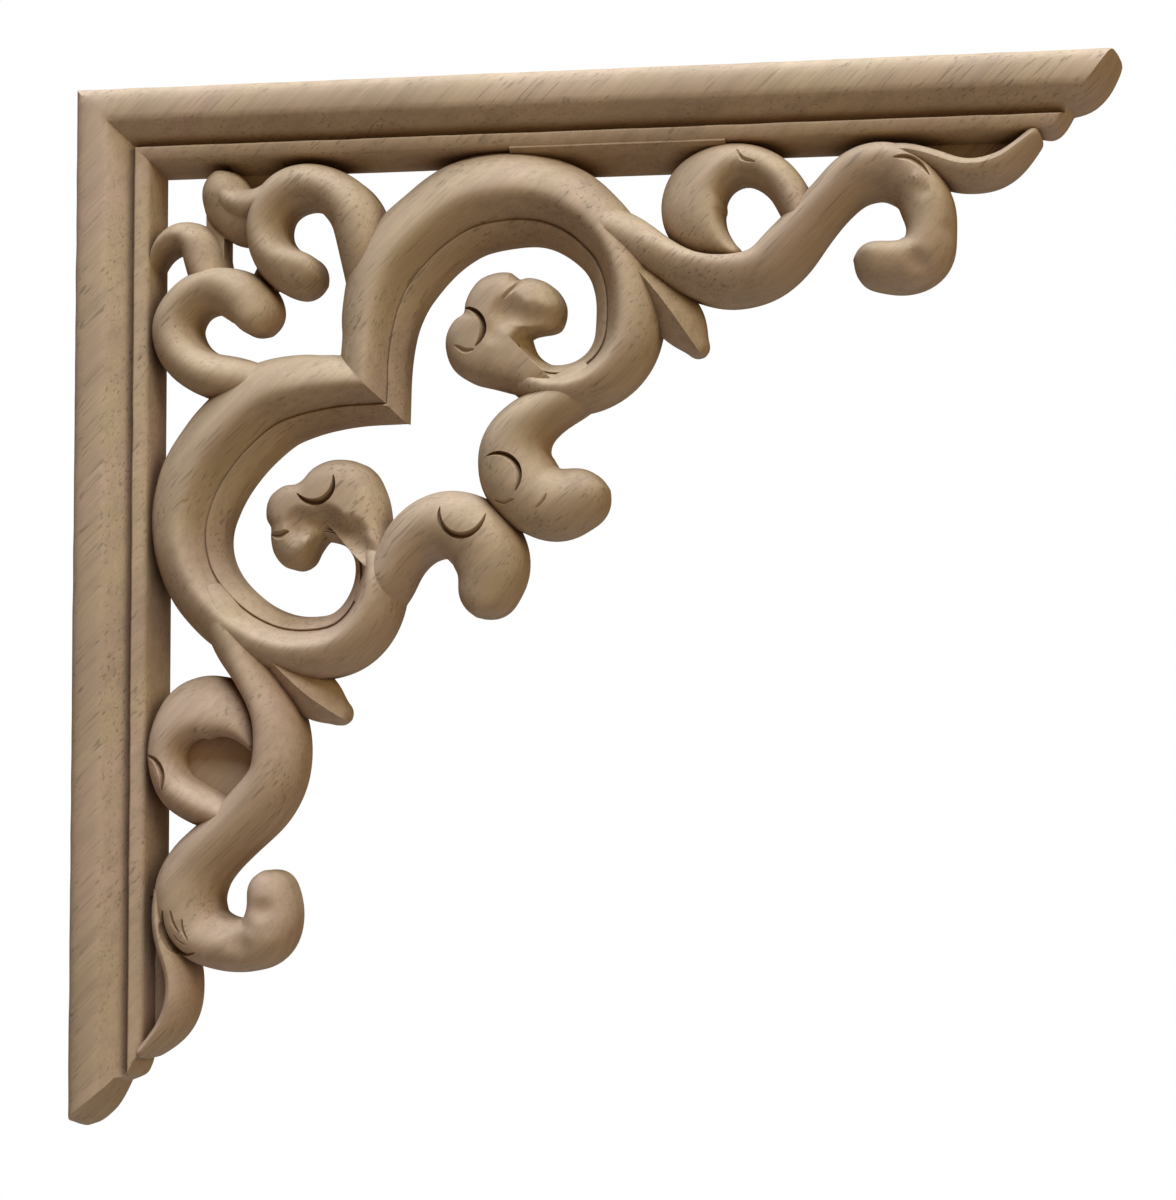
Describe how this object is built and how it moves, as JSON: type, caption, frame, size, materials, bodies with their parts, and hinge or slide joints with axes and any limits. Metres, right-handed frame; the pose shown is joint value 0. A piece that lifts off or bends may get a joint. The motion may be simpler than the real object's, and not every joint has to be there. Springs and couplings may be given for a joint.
{
  "type": "corner bracket applique",
  "caption": "Carved wooden corner bracket: two moulded arms at a right angle with a pierced heart and leafy scrolls in the angle, flat at the back",
  "frame": {"origin": "on the flat back, in the outer corner where the two arms meet, 11 mm in from both outer edges", "axes": "+X along the top arm, -Z down the side arm, +Y into the wall or furniture behind, so the carved face looks along -Y"},
  "size_m": [0.3, 0.02, 0.3],
  "materials": {
    "raw_wood": "raw sanded pale hardwood, no stain or varnish"
  },
  "bodies": {
    "root": {"corner_bracket": "raw_wood"}
  },
  "joints": []
}
